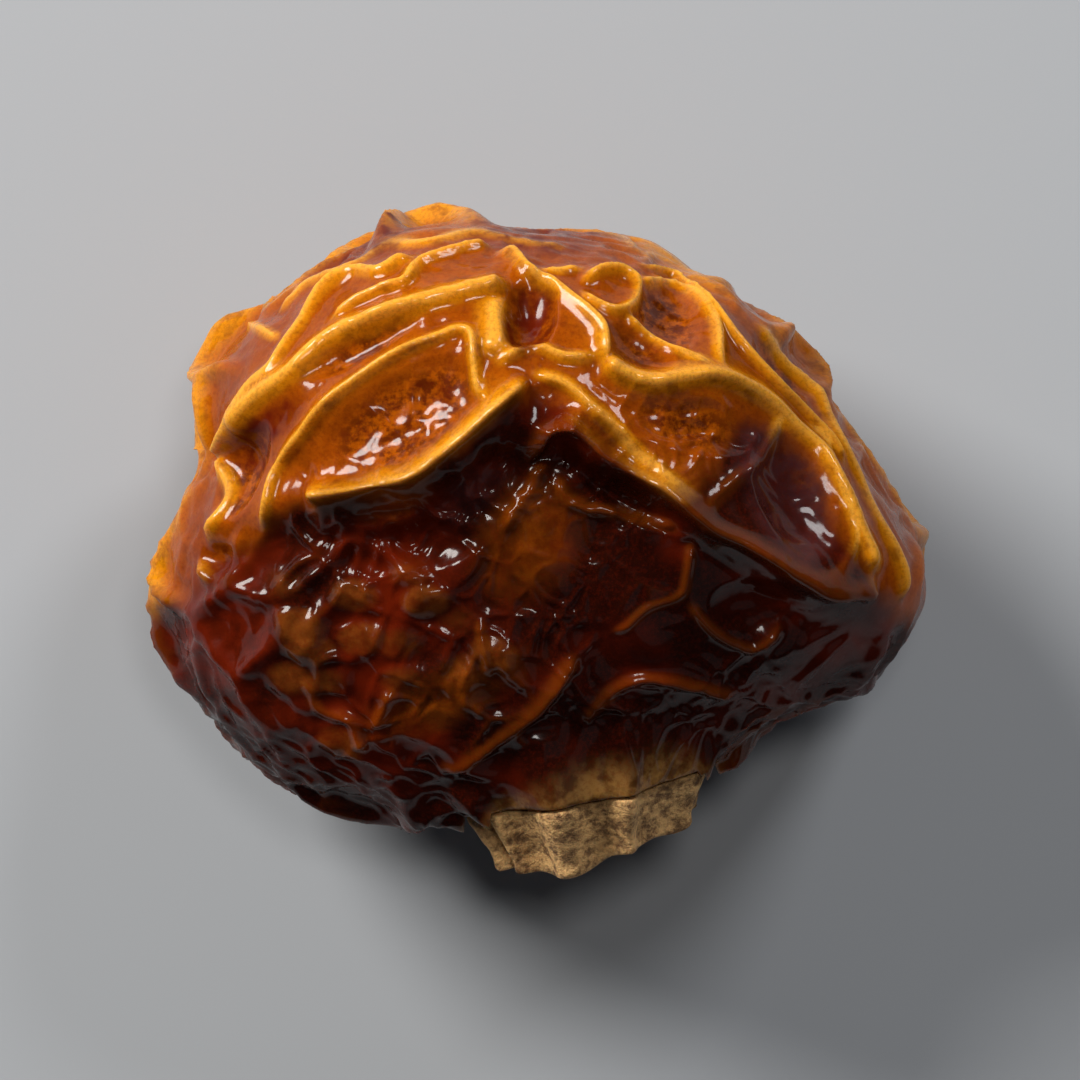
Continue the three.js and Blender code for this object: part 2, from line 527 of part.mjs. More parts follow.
// The corky scar: a short cone with a ruffled, torn rim round a pitted middle, as rings about the stem's
// axis. Each ring is a share of the radius and a share of the thickness, from the middle of its back to
// that of its face.
const SCAR_RINGS = [
  [0, 0], [0.5, 0], [0.93, 0], [0.99, 0.1], [0.95, 0.32], [0.89, 0.58], [0.84, 0.82], [0.83, 0.97],
  [0.79, 1.03], [0.74, 0.95], [0.68, 0.78], [0.58, 0.62], [0.45, 0.55], [0.3, 0.6], [0.15, 0.68], [0, 0.66],
];
function scarPoint([radiusShare, heightShare], turn) {
  const flat = new THREE.Vector3(radiusShare * Math.cos(turn), radiusShare * Math.sin(turn), heightShare);
  const rim = new THREE.Vector3(Math.cos(turn), Math.sin(turn), 0);
  const onRim = smoothstep(0.45, 0.8, radiusShare);
  const ruffle = 1 + SCAR.ruffle * (2 * pleatWave(turn) - 1) * onRim;
  const torn = 1 + SCAR.ragged * waves(rim, SCAR.tearLength, 5) * onRim * smoothstep(0.1, 0.6, heightShare);
  const rough = radiusShare > 0 && heightShare > 0.1 ? SCAR.rough * waves(flat, SCAR.roughLength, 8) : 0;
  const radius = SCAR.radius * radiusShare * ruffle;
  const height = SCAR.thickness * heightShare * torn + rough;
  return seatPoint
    .clone()
    .addScaledVector(STEM_SIDE, radius * Math.cos(turn))
    .addScaledVector(STEM_UP, radius * Math.sin(turn))
    .addScaledVector(STEM_AXIS, SCAR_GAP + height);
}

function scarGeometry() {
  const places = [];
  const faces = [];
  const rings = SCAR_RINGS.length - 1;
  const index = (ring, sector) => {
    if (ring === 0) return 0;
    if (ring === rings) return 1;
    return 2 + (ring - 1) * SCAR.sectors + (sector % SCAR.sectors);
  };
  places.push(scarPoint(SCAR_RINGS[0], 0), scarPoint(SCAR_RINGS[rings], 0));
  for (let ring = 1; ring < rings; ring += 1) {
    for (let sector = 0; sector < SCAR.sectors; sector += 1) {
      places.push(scarPoint(SCAR_RINGS[ring], (sector / SCAR.sectors) * 2 * Math.PI));
    }
  }
  for (let ring = 0; ring < rings; ring += 1) {
    for (let sector = 0; sector < SCAR.sectors; sector += 1) {
      const [a, b] = [index(ring, sector), index(ring, sector + 1)];
      const [c, d] = [index(ring + 1, sector), index(ring + 1, sector + 1)];
      if (a !== b) faces.push(a, b, c);
      if (c !== d) faces.push(b, d, c);
    }
  }
  const geometry = new THREE.BufferGeometry().setFromPoints(places);
  geometry.setIndex(faces);
  geometry.computeVertexNormals();
  return geometry;
}

const skinMaterial = new THREE.MeshStandardMaterial({ color: 0xa5520f, roughness: 0.3, metalness: 0 });
const corkMaterial = new THREE.MeshStandardMaterial({ color: 0x8a6238, roughness: 0.9, metalness: 0 });

const physalis = new THREE.Group();

const berry = new THREE.Mesh(berryGeometry(), skinMaterial);
berry.name = "berry";
physalis.add(berry);

const scar = new THREE.Mesh(scarGeometry(), corkMaterial);
scar.name = "stem_scar";
physalis.add(scar);

physalis.position.set(-PLAN_MIDDLE[0], -PLAN_MIDDLE[1], -FOOT_LEVEL);

export default physalis;
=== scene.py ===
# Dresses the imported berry: a fine wrinkled skin and a fine corky scar with their materials, a pale floor,
# soft studio light and a camera straight above. The shape is the CAD source's own formula at a finer step,
# in millimetres. The stage is in metres, as the part's frame is.

import math

import bpy
import numpy as np
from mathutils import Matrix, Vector


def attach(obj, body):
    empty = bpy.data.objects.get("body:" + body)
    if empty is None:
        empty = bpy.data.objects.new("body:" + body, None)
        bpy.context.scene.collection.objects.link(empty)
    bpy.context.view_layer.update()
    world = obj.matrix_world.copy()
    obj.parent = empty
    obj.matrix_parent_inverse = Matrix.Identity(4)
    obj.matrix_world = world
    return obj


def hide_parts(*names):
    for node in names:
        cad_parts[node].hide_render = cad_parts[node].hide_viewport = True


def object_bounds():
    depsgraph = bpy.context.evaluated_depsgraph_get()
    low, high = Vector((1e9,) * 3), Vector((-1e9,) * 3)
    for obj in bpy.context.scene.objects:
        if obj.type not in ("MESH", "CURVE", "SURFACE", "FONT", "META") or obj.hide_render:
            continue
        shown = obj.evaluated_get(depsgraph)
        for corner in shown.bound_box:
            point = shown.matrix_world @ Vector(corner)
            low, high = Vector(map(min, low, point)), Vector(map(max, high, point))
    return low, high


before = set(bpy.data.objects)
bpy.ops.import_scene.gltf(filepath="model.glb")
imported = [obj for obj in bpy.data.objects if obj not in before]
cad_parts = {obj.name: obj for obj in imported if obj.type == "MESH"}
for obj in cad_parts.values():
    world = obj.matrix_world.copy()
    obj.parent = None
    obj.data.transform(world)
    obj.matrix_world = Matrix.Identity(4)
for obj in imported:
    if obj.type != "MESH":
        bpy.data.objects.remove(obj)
cad_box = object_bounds()

MM = 0.001

# Driving dimensions of the smooth body under the wrinkles, as in the CAD source
BODY_ABOVE = 6.2  # from the widest level up to the top
BODY_BELOW = 5.9  # from the widest level down to the underside
BODY_SQUARENESS = 2.25  # 2 makes an ellipsoid, and more fills out its corners
BODY_TILT = 0.15  # share by which the far side stands higher and the near side lower
TILT_REACH = 8  # at this distance from the middle
FOOT_LEVEL = -5.98  # the level at which the lowest wrinkles are flat
PLAN_MIDDLE = (-0.15, -0.62)  # where the part's origin lies, from the outline's middle

# The berry's outline seen from above, anticlockwise from the right
OUTLINE = [
    (9.35, -1.9), (8.2, 0.75), (6.95, 2.45), (6.0, 3.9), (4.9, 5.05), (3.25, 5.7), (1.5, 6.65), (-0.6, 6.9),
    (-3.0, 6.95), (-4.95, 6.2), (-6.55, 5.15), (-7.85, 3.9), (-8.2, 2.6), (-8.15, 1.5), (-8.75, 0.2),
    (-9.05, -1.6), (-8.7, -3.45), (-8.05, -4.9), (-6.6, -6.2), (-4.6, -6.9), (-2.3, -7.3), (0.4, -6.8),
    (3.2, -5.7), (5.9, -4.65), (7.9, -3.85), (8.8, -3.05),
]

# The brow: the line, seen from above, below which the skin has sunk onto the flesh
BROW = [
    (-10, -0.5), (-7.5, -0.1), (-6.2, 0.2), (-4.5, 0.35), (-3.4, 0.6), (-2.6, 1.0), (-1.7, 1.7),
    (-0.9, 2.2), (0.0, 2.4), (0.8, 2.0), (1.7, 1.2), (2.6, 0.65), (4.0, -0.35), (5.6, -1.2), (6.6, -1.85),
    (8.0, -2.5), (10, -3.1),
]
BROW_DROP = 0.14  # share of the height that is lost below the brow
BROW_RISE = (-0.9, 0.35)  # the drop runs out between these distances from the line

# Folds of the upper side: height, width, lean, and the crest's line seen from above
FOLDS = {
    "window_crest": (0.5, 0.13, 0.05, [
        (-7.1, -0.7), (-7.0, 0.2), (-6.7, 1.2), (-6.0, 2.1), (-5.4, 2.8), (-4.5, 3.5), (-3.6, 4.05),
        (-2.8, 4.4), (-2.15, 4.65), (-1.85, 4.45), (-1.8, 3.8), (-1.7, 3.1), (-1.35, 2.6)]),
    "hanging_lip": (0.75, 0.18, 0.3, [
        (-6.4, 0.42), (-5.3, 0.5), (-4.3, 0.64), (-3.3, 0.93), (-2.6, 1.42), (-1.9, 2.0), (-1.25, 2.6),
        (-0.6, 3.1), (-0.1, 3.4)]),
    "band_edge": (0.32, 0.14, 0.1, [
        (-0.6, 3.4), (-0.1, 3.4), (0.5, 3.2), (1.03, 2.75), (1.6, 2.25), (2.2, 1.6), (3.0, 0.95),
        (3.7, 0.35), (4.2, -0.2)]),
    "second_arc": (0.65, 0.25, 0.15, [
        (-8.2, 1.9), (-7.4, 2.9), (-6.4, 3.65), (-5.4, 4.55), (-4.4, 4.9), (-3.4, 5.25), (-2.3, 5.6),
        (-1.35, 5.8), (-0.6, 5.9)]),
    "third_arc_low": (0.45, 0.15, 0.1, [
        (-5.6, 4.7), (-4.8, 5.3), (-4.1, 5.6), (-3.5, 5.8), (-3.15, 6.3), (-2.5, 6.6), (-1.8, 6.8),
        (-1.0, 6.85)]),
    "third_arc_high": (0.5, 0.18, 0.05, [
        (-8.5, 1.3), (-8.1, 1.95), (-7.8, 2.6), (-7.4, 3.3), (-6.9, 3.75), (-6.6, 4.3), (-6.2, 4.9),
        (-5.9, 5.4), (-5.4, 5.9), (-4.8, 6.2), (-4.2, 6.15), (-3.6, 6.45), (-3.0, 6.55)]),
    "left_spur": (0.25, 0.12, 0, [(-7.6, 4.85), (-7.2, 4.7), (-6.5, 4.35)]),
    "far_rim": (0.3, 0.2, 0, [
        (-6.9, 5.0), (-6.0, 5.8), (-5.0, 6.2), (-4.0, 6.8), (-3.0, 6.85), (-1.8, 7.1), (-0.5, 6.85),
        (0.8, 6.75)]),
    "crown_crest": (0.55, 0.16, -0.1, [
        (-1.3, 6.9), (-0.75, 6.6), (-0.4, 6.2), (0.2, 5.9), (0.8, 5.4), (1.2, 5.0), (1.45, 4.6), (1.5, 4.1),
        (1.75, 3.5)]),
    "crown_link": (0.32, 0.13, 0, [(-0.5, 6.15), (0.3, 6.1), (1.2, 6.25)]),
    "pit_left": (0.35, 0.35, 0, [(-1.35, 5.7), (-1.25, 5.0), (-1.25, 4.3), (-1.4, 3.6)]),
    "pit_floor": (0.35, 0.14, 0, [
        (-1.5, 3.6), (-0.9, 3.95), (-0.3, 4.2), (0.35, 3.95), (0.9, 3.9), (1.5, 3.95)]),
    "pocket_loop": (0.45, 0.13, 0, [
        (0.75, 5.75), (1.3, 6.1), (1.95, 6.1), (2.35, 5.75), (2.25, 5.35), (1.8, 5.15), (1.25, 5.35),
        (0.7, 5.85)]),
    "shoulder_link": (0.4, 0.15, 0, [
        (2.2, 5.85), (2.9, 5.9), (3.35, 5.75), (3.8, 5.4), (4.25, 4.8), (4.3, 4.0), (4.35, 3.4)]),
    "shoulder_crease": (0.3, 0.14, 0, [(1.7, 5.2), (2.6, 4.55), (3.5, 4.0), (4.4, 3.7)]),
    "right_crest": (0.5, 0.12, 0.1, [
        (2.2, 6.4), (3.2, 6.1), (4.0, 5.4), (4.7, 4.6), (5.2, 4.0), (5.95, 3.2), (6.6, 2.6), (7.2, 1.9),
        (7.7, 1.1)]),
    "right_rim": (0.4, 0.22, 0, [
        (5.1, 5.0), (6.0, 4.2), (6.7, 3.3), (7.35, 2.0), (8.0, 0.9), (8.55, -0.3), (8.95, -1.4),
        (9.05, -2.4)]),
    "shoulder_fold": (0.65, 0.25, 0.25, [
        (1.1, 4.1), (2.0, 3.5), (2.7, 3.35), (3.5, 3.45), (4.3, 3.5), (5.1, 3.25), (5.7, 2.9), (6.3, 2.35),
        (6.9, 1.8), (7.3, 1.1), (7.8, 0.1), (8.2, -0.9), (8.4, -1.8)]),
    "facet_divider": (0.3, 0.16, 0, [
        (5.9, 2.9), (5.7, 2.05), (5.3, 1.35), (4.7, 0.9), (4.1, 0.3), (4.15, -0.4)]),
    "facet_rim": (0.32, 0.13, 0, [
        (6.3, 2.5), (6.95, 1.9), (7.1, 1.1), (7.4, 0.35), (7.65, -0.25), (7.65, -0.8), (7.2, -1.3),
        (6.6, -1.35), (6.0, -1.0)]),
    "brow_fold": (0.75, 0.17, 0.4, [
        (-0.2, 1.0), (-0.05, 1.7), (0.33, 2.05), (0.89, 1.95), (1.45, 1.46), (2.15, 0.97), (3.0, 0.48),
        (3.7, -0.08), (4.25, -0.5), (4.95, -0.8), (5.66, -1.2), (6.36, -1.7), (7.06, -2.1), (7.9, -2.2),
        (8.6, -2.3)]),
    "lobe_left": (0.35, 0.17, 0, [(0.05, 1.6), (-0.2, 1.0), (-0.45, 0.5), (-0.9, -0.1), (-1.3, -0.7)]),
    "lobe_right": (0.38, 0.15, 0.1, [
        (0.1, 1.2), (0.45, 0.4), (1.0, 0.1), (1.8, 0.0), (2.7, -0.2), (3.6, -0.4)]),
    "lower_y_stem": (0.45, 0.12, 0, [
        (3.6, -0.3), (3.5, -1.4), (3.3, -2.05), (2.5, -2.35), (1.95, -2.8), (1.4, -3.1)]),
    "lower_y_right": (0.42, 0.12, 0, [
        (3.4, -1.9), (3.8, -2.6), (4.4, -3.15), (5.1, -3.4), (5.6, -3.15), (6.1, -2.6)]),
    "long_diagonal": (0.5, 0.18, -0.1, [
        (1.0, -3.3), (0.4, -4.1), (-0.05, -4.7), (-0.45, -5.15), (-1.3, -5.8), (-2.1, -6.3), (-2.8, -6.6)]),
    "left_lobe": (0.4, 0.17, 0, [(-8.3, 1.6), (-8.1, 0.8), (-8.3, 0.0), (-8.7, -0.8)]),
    "left_crescent": (0.35, 0.13, 0, [
        (-8.8, -0.9), (-8.5, -1.5), (-8.0, -1.7), (-7.5, -1.3), (-7.2, -0.6)]),
    "low_left_hook": (0.36, 0.14, 0, [
        (-5.9, -3.7), (-5.8, -4.5), (-5.5, -4.95), (-4.95, -5.05), (-4.6, -5.55), (-4.4, -6.1)]),
    "low_left_bar": (0.34, 0.14, 0, [(-3.7, -4.0), (-4.0, -4.8), (-4.4, -5.5)]),
    "low_middle_bar": (0.34, 0.14, 0, [(-1.7, -2.3), (-1.55, -3.2), (-1.3, -4.3)]),
    "neck_fold": (0.4, 0.15, 0, [(4.9, -4.6), (3.6, -4.3), (2.4, -4.1), (1.4, -4.6), (0.8, -5.4)]),
}
FOLD_RIDGE = 0.45  # share of a fold's height that is a narrow ridge, on a wide skirt
FOLD_SKIRT = 0.6  # the skirt falls away over about this length
FOLD_END = 0.7  # a crest dies away over this length at each end
FOLD_STEPS = 6  # pieces that each span of a drawn crest is split into
FOLD_PASSES = 3  # passes that find the place under a drawn crest
FOLD_REACH = 3.5
FOLD_CHANGE = (0.9, 0.18, 2.4, 3)  # how a crest's height wavers: middle, range, wavelength and seed
CREST_WIDTH = 1.4  # the pale band along a crest, partly the skin's own paler tone and partly a painted highlight, in widths of the fold

# Hollows of the upper side, as ellipses seen from above: middle, half axes, turn in degrees, depth
HOLLOWS = {
    "window": ((-3.55, 2.45), (2.4, 1.1), 32, 0.35),
    "crown_pit": ((-0.4, 5.0), (1.0, 0.7), 80, 0.5),
    "apex_pit": ((0.1, 2.75), (0.8, 0.6), 0, 0.2),
    "apex_trough": ((1.8, 1.75), (1.4, 0.4), -38, 0.4),
    "upper_facet": ((3.0, 5.05), (1.0, 0.7), -40, 0.35),
    "middle_facet": ((2.3, 4.2), (1.0, 0.5), -25, 0.2),
    "right_facet": ((6.1, 3.9), (1.1, 0.5), -50, 0.3),
    "band": ((3.6, 2.35), (1.8, 0.75), -15, 0.25),
    "violet_facet": ((6.2, 0.6), (1.7, 0.9), -65, 0.4),
    "left_channel": ((-7.7, 1.1), (1.4, 0.5), 65, 0.35),
    "arc_trough": ((-4.6, 4.25), (1.9, 0.35), 28, 0.25),
    "under_brow": ((2.3, 0.45), (1.6, 0.6), -28, 0.4),
    "under_lip": ((-3.6, -0.6), (2.6, 1.0), 12, 0.35),
    "amber_lobe": ((-0.1, -0.5), (2.0, 1.3), 80, -0.25),
    "lower_right": ((5.3, -2.3), (1.3, 0.8), 0, 0.3),
    "left_cup": ((-8.2, -1.1), (0.6, 0.45), 0, 0.25),
}

# The line above which the skin is golden; below it the skin is dark, partly the flesh's own dark red and
# partly painted shade of the lower half, which lies under the brow and faces away from the light
GOLD_EDGE = [
    (-12, -3.6), (-9.5, -2.3), (-7.45, -0.6), (-6.3, 0.25), (-3.5, 0.6), (-1.5, 2.35), (-0.2, 3.4),
    (0.8, 3.0), (1.5, 2.5), (2.9, 0.95), (4.2, 1.0), (5.1, 2.1), (6.3, 1.5), (7.5, -0.5), (8.8, -2.4),
    (12, -4.5),
]

# Patches of other colours on the upper side: middle, half axes, turn in degrees, strength
TINTS = {
    "amber": [((-0.4, -0.6), (2.1, 1.6), 60, 0.3), ((-2.6, -4.6), (3.2, 0.9), 25, 0.25)],
    "red": [
        ((-7.9, -2.6), (1.6, 2.2), 0, 0.9), ((-0.4, 4.9), (1.1, 0.7), 80, 1.0),
        ((-7.0, 2.2), (1.5, 0.5), 40, 0.8), ((-4.6, 7.0), (2.4, 0.6), 25, 0.8),
        ((-0.2, 7.2), (2.2, 0.7), 0, 0.7)],
    # painted reflection: the purplish patches stand in for a bluish sheen reflected on these facets
    "violet_reflection": [((6.0, 0.7), (2.2, 1.2), -60, 0.9), ((-1.9, 0.5), (1.3, 0.7), 40, 0.5)],
}

# Seeds under the sunken skin: their middles spiral out over an ellipse and stray a little
SEED_COUNT = 16
SEED_MIDDLE = (-4.2, -3.1)
SEED_REACH = (3.4, 2.3)
SEED_HALF = (0.75, 0.5)
SEED_HEIGHT = 0.2
SEED_STRAY = 1.1
SEED_LEAST_SHOW = 0.25  # share of the height that the least of them shows
SEED_TURN = 1.3  # each seed's own turn, for each turn of its place

# Nets of wrinkles: cells, height, width, warp, warp length, seed, share left under the drawn folds
NETS = [
    (95, 0.95, 0.3, 0.6, 4.6, 11, 0.12),
    (420, 0.42, 0.17, 0.3, 2.1, 29, 0.4),
]
# A finer net that only this skin can carry, with the same values in the same order
CRUMPLE = (1300, 0.17, 0.08, 0.25, 1.2, 47, 1)
CRUMPLE_ABOVE_BROW = 0.4  # share of its height above the brow
CRUMPLE_ON_LOBE = 0.3  # and in the middle of the smooth amber lobe
NET_JITTER = 0.5  # how far a cell's middle strays, as a share of the spacing of the cells
NET_BELOW_BROW = 0.35  # share of the height that comes back below the brow
NET_AT_FOOT = 0.35  # share left where the berry rests
NET_FADE_LENGTH = 5.2  # wavelength of the slow change in the nets' height
NET_STRENGTH = (0.62, 0.5)  # that change's middle and range
NET_CREST = (0.45, 0.95)  # shares of a net's height between which its crests turn pale, partly as a painted highlight
NET_CREST_PALE_AND_HIGHLIGHT = 0.8  # and how pale they turn
NET_CHUNKS = 40  # parts that the points are taken in, to save memory

# The stem end: where the neck stands, the way it points, and the ruffled scar on it
STEM_PLACE = np.array([0.14, -1, 0.04])
STEM_WAY = np.array([0.17, -0.96, -0.2])
NECK_RADIUS = 2.6  # up to here from the stem's axis the skin is drawn out fully
NECK_FLARE = 1.2  # and over this much more it runs back to the body
NECK_LENGTH = -0.1
NECK_OVERLAP = 0.2  # the skin is drawn out this far past the seat, and flattened back to it
NECK_SMOOTH = (2.4, 4.2)  # the wrinkles begin between these distances from the axis
NECK_DEPTH = (1.5, 3.5)  # and all this ends between these depths behind the seat
SEAT_RADIUS = 3.3
PLEAT_COUNT = 11
PLEAT_HEIGHT = 0.4
PLEAT_WANDER = (1.4, 0.9)  # how unevenly the pleats are spaced
PLEATS_BEGIN = (0.8, 1.8)
PLEATS_END = (3, 5)
SCAR_GAP = 0.08
SCAR_RADIUS = 2.95
SCAR_THICKNESS = 1.45
SCAR_RAGGED = 0.28  # the rim's height varies by this share
SCAR_TEAR_LENGTH = 1.4  # at about this wavelength
SCAR_RUFFLE = 0.1  # and its radius by this share, with the pleats
SCAR_ROUGH = 0.05
SCAR_ROUGH_LENGTH = 0.4
SCAR_BACK = 0.1  # share of the thickness below which the scar isn't rough
SCAR_RIM = (0.45, 0.8)  # shares of the radius between which the rim begins
SCAR_TORN = (0.1, 0.6)  # and of the thickness between which it begins to be torn

GOLDEN_ANGLE = math.pi * (3 - math.sqrt(5))
SHARPNESS = 4  # how strictly the highest fold wins where folds meet
SKIN_LIFT = 0.4  # the wrinkles' mean height, by which the skin is seen beyond the smooth body
TOP_SIDE = (-0.05, 0.45)  # the nets give way to the drawn folds as the skin turns up
FOOT_SIDE = (-0.75, -0.95)  # and lose height as it turns down
HOLLOW_SIDE = (0, 0.3)  # the hollows run out at the sides


def clamp01(t):
    return np.clip(t, 0, 1)


def smoothstep(start, end, t):
    s = clamp01((t - start) / (end - start))
    return s * s * (3 - 2 * s)


def unit(vectors):
    return vectors / np.linalg.norm(vectors, axis=-1, keepdims=True)


def seeded_numbers(seed):
    """Even random numbers from 0 to 1, the same on every run and in the CAD source."""
    state = seed
    while True:
        state = (state * 1664525 + 1013904223) % 2**32
        yield state / 2**32


def spread_directions(count):
    index = np.arange(count)
    z = 1 - (2 * index + 1) / count
    ring = np.sqrt(1 - z * z)
    return np.stack([ring * np.cos(index * GOLDEN_ANGLE), ring * np.sin(index * GOLDEN_ANGLE), z], axis=1)


WAVE_COUNT = 7
WAVE_DIRECTIONS = spread_directions(WAVE_COUNT)
WAVE_PACE = (0.75, 0.09)  # the first wave's pace, and what each later one adds
WAVE_SHIFT = 1.7  # what a seed adds to a wave's phase
WAVE_SPREAD = 1.3  # brings the sum to about -1 to 1


def waves(points, wavelength, seed):
    """A smooth random field, about -1 to 1: plane waves in several directions."""
    total = 0
    for k, direction in enumerate(WAVE_DIRECTIONS):
        pace = 2 * math.pi * (WAVE_PACE[0] + WAVE_PACE[1] * k) / wavelength
        total = total + np.sin(points @ direction * pace + seed * (k + 1) * WAVE_SHIFT + k * k)
    return total / math.sqrt(WAVE_COUNT * WAVE_SPREAD)


def hermite(knots_x, knots_y, i, x):
    """The smooth curve through knots i - 2 to i + 1 of a graph, between its middle two."""
    px, qx, rx, sx = (knots_x[i + k] for k in (-2, -1, 0, 1))
    py, qy, ry, sy = (knots_y[i + k] for k in (-2, -1, 0, 1))
    span = rx - qx
    t = (x - qx) / span
    slope_q = (ry - py) / (rx - px) * span
    slope_r = (sy - qy) / (sx - qx) * span
    return (
        (2 * t**3 - 3 * t**2 + 1) * qy
        + (t**3 - 2 * t**2 + t) * slope_q
        + (3 * t**2 - 2 * t**3) * ry
        + (t**3 - t**2) * slope_r
    )


def outline_knots():
    places = np.array(OUTLINE)
    angle = np.arctan2(places[:, 1], places[:, 0])
    radius = np.hypot(places[:, 0], places[:, 1])
    order = np.argsort(angle)
    angle, radius = angle[order], radius[order]
    turn = 2 * math.pi
    return np.concatenate([angle - turn, angle, angle + turn]), np.tile(radius, 3)


OUTLINE_ANGLE, OUTLINE_RADIUS = outline_knots()


def outline_radius(angle):
    i = np.searchsorted(OUTLINE_ANGLE, angle, side="right")
    return hermite(OUTLINE_ANGLE, OUTLINE_RADIUS, i, angle)


def line_level(line, x):
    """The height y of a line drawn from left to right, at each x."""
    knots = np.array([line[0]] + line + [line[-1]], dtype=float)
    knots[0, 0] -= 1e-6
    knots[-1, 0] += 1e-6
    i = np.clip(np.searchsorted(knots[1:-1, 0], x, side="right"), 1, len(line) - 1) + 1
    return hermite(knots[:, 0], knots[:, 1], i, x)


def body_sum(p):
    in_plan = np.hypot(p[:, 0], p[:, 1]) / outline_radius(np.arctan2(p[:, 1], p[:, 0]))
    up = np.abs(p[:, 2]) / np.where(p[:, 2] > 0, BODY_ABOVE, BODY_BELOW)
    return in_plan**BODY_SQUARENESS + up**BODY_SQUARENESS


def body_points(directions):
    return directions * (body_sum(directions) ** (-1 / BODY_SQUARENESS))[:, None]


def body_top(xy):
    in_plan = np.hypot(xy[:, 0], xy[:, 1]) / outline_radius(np.arctan2(xy[:, 1], xy[:, 0]))
    height = (1 - np.minimum(1, in_plan) ** BODY_SQUARENESS) ** (1 / BODY_SQUARENESS)
    return np.column_stack([xy, BODY_ABOVE * height])


def body_normals(points):
    step = 0.02
    slopes = [body_sum(points + step * axis) - body_sum(points - step * axis) for axis in np.eye(3)]
    return unit(np.stack(slopes, axis=1))


def under_crest(xy, height, tip):
    """The smooth body's places under a crest of this height and lean, drawn as it is seen from above."""
    base = body_top(xy)
    run = unit(np.gradient(base, axis=0))
    for _ in range(FOLD_PASSES):
        normal = body_normals(base)
        base = body_top(xy - (height * normal + tip * np.cross(run, normal))[:, :2])
    return base


def fold_shape(distance, width):
    """A fold's height at a distance from its crest, 1 on the crest."""
    skirt = (np.hypot(distance, width) - width) / FOLD_SKIRT
    return FOLD_RIDGE * np.exp(-((distance / width) ** 2)) + (1 - FOLD_RIDGE) * np.exp(-skirt)


def smooth_line(line, pieces):
    """The drawn line as a Catmull-Rom curve in a number of pieces, as three.js's SplineCurve draws it."""
    knots = np.array(line, dtype=float)
    t = np.linspace(0, len(knots) - 1, pieces + 1)
    i = np.minimum(t.astype(int), len(knots) - 1)
    w = (t - i)[:, None]
    last = len(knots) - 1
    p0 = knots[np.where(i == 0, i, i - 1)]
    p1 = knots[i]
    p2 = knots[np.where(i > last - 1, last, i + 1)]
    p3 = knots[np.where(i > last - 2, last, i + 2)]
    v0 = (p2 - p0) * 0.5
    v1 = (p3 - p1) * 0.5
    return (2 * p1 - 2 * p2 + v0 + v1) * w**3 + (-3 * p1 + 3 * p2 - 2 * v0 - v1) * w**2 + v0 * w + p1


def nearest_on_line(path, points):
    """Each point's distance to a crest, how far along it that is, the crest's direction and its length."""
    steps = np.diff(path, axis=0)
    lengths = np.linalg.norm(steps, axis=1)
    run = np.concatenate([[0], np.cumsum(lengths)])
    distance = np.full(len(points), np.inf)
    along = np.zeros(len(points))
    direction = np.zeros((len(points), 3))
    for start, step, length, before in zip(path, steps, lengths, run):
        out = points - start
        t = clamp01(out @ step / length**2)
        far = np.linalg.norm(out - t[:, None] * step, axis=1)
        closer = far < distance
        distance[closer] = far[closer]
        along[closer] = before + t[closer] * length
        direction[closer] = step / length
    return distance, along, direction, run[-1]


def net_height(net, points):
    """The height of a net of wrinkles, which are the borders of irregular cells."""
    cells, height, width, warp, warp_length, seed, _ = net
    random = seeded_numbers(seed)
    spacing = math.sqrt(4 * math.pi / cells)
    middles = spread_directions(cells)
    jitter = np.array([next(random) for _ in range(3 * cells)]).reshape(-1, 3)
    middles = body_points(unit(middles + (jitter - 0.5) * 2 * NET_JITTER * spacing))
    moved = points + warp * np.stack([waves(points, warp_length, seed + k) for k in (1, 2, 3)], axis=1)
    gaps = np.empty(len(points))
    for part in np.array_split(np.arange(len(points)), NET_CHUNKS):
        far = np.linalg.norm(moved[part, None, :] - middles[None, :, :], axis=2)
        two = np.partition(far, 1, axis=1)[:, :2]
        gaps[part] = (two[:, 1] - two[:, 0]) / 2
    strength = clamp01(NET_STRENGTH[0] + NET_STRENGTH[1] * waves(points, NET_FADE_LENGTH, seed + 4))
    return height * strength * fold_shape(gaps, width)


def in_ellipse(x, y, half, turn):
    """How far inside an ellipse a place is: 1 in the middle and 0 from its edge out."""
    along = (x * math.cos(turn) + y * math.sin(turn)) / half[0]
    across = (-x * math.sin(turn) + y * math.cos(turn)) / half[1]
    return clamp01(1 - along**2 - across**2)


def in_patch(x, y, middle, half, turn_degrees):
    return in_ellipse(x - middle[0], y - middle[1], half, math.radians(turn_degrees))


STEM_AXIS = unit(STEM_WAY)
SEAT = body_points(STEM_PLACE[None])[0] + STEM_AXIS * NECK_LENGTH
STEM_SIDE = unit(np.array([1, 0, 0]) - STEM_AXIS * STEM_AXIS[0])
STEM_UP = np.cross(STEM_AXIS, STEM_SIDE)


def from_seat(points):
    out = points - SEAT
    return out @ STEM_SIDE, out @ STEM_UP, out @ STEM_AXIS


def pleat_wave(turn):
    """The pleats round the stem: 1 on a pleat and 0 between two, unevenly spaced."""
    wander = PLEAT_WANDER[0] * np.sin(2 * turn + 1) + PLEAT_WANDER[1] * np.sin(5 * turn)
    return (0.5 + 0.5 * np.cos(PLEAT_COUNT * turn + wander)) ** 2


def stem_pull(points):
    """How far the neck draws the skin out, the pleats that run into it, and how much neck it is."""
    side, up, out = from_seat(points)
    away = np.hypot(side, up)
    near = 1 - smoothstep(*NECK_DEPTH, -out)
    drawn = (1 - smoothstep(NECK_RADIUS, NECK_RADIUS + NECK_FLARE, away)) * near
    pull = np.maximum(0, NECK_OVERLAP - out) * drawn
    band = smoothstep(*PLEATS_BEGIN, away) * (1 - smoothstep(*PLEATS_END, away)) * near
    neck = (1 - smoothstep(*NECK_SMOOTH, away)) * near
    return pull, PLEAT_HEIGHT * pleat_wave(np.arctan2(up, side)) * band, neck


